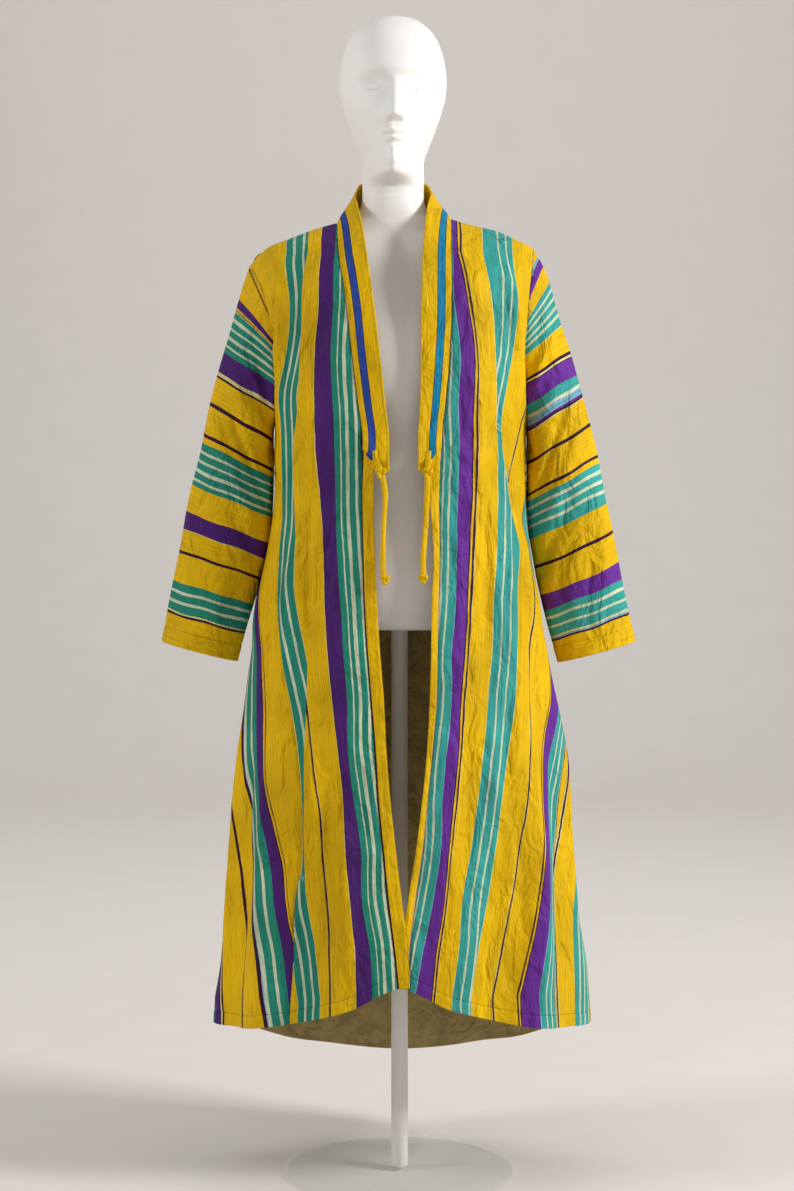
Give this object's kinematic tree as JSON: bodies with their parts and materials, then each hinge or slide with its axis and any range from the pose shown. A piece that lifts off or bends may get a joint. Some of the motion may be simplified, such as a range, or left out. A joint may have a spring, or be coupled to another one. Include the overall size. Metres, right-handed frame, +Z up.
{
  "type": "uzbek chapan robe on a limbless dress form",
  "caption": "Long open-fronted chapan robe in vertical stripes, with neckband, side gores and ties, on a limbless dress form with pole and round foot.",
  "frame": {"origin": "centre of the foot's flat underside, on the pole's axis", "axes": "+Z up along the pole, -Y the way the robe's open front and the face look, -X the wearer's right"},
  "size_m": [0.7309, 0.3948, 1.779],
  "materials": {
    "striped_cloth": "plain-woven satin cotton in yellow, teal, purple and cream stripes",
    "band_cloth": "the same cloth folded lengthwise, yellow with one blue stripe",
    "edge_cloth": "the same cloth, yellow, turned over the front edge",
    "tie_cloth": "yellow cloth sewn into a soft tube and knotted",
    "lining": "thin plain olive cotton",
    "form_shell": "matt white shell",
    "pole_metal": "satin white",
    "foot_glass": "clear, polished"
  },
  "bodies": {
    "root": {"back_left": "striped_cloth", "back_lining": "lining", "back_right": "striped_cloth", "edge_strip_left": "edge_cloth", "edge_strip_right": "edge_cloth", "foot": "foot_glass", "form": "form_shell", "front_left": "striped_cloth", "front_right": "striped_cloth", "gore_left": "striped_cloth", "gore_right": "striped_cloth", "neckband": "band_cloth", "pole": "pole_metal", "sleeve_left": "striped_cloth", "sleeve_right": "striped_cloth", "tie_left": "tie_cloth", "tie_right": "tie_cloth"}
  },
  "joints": []
}
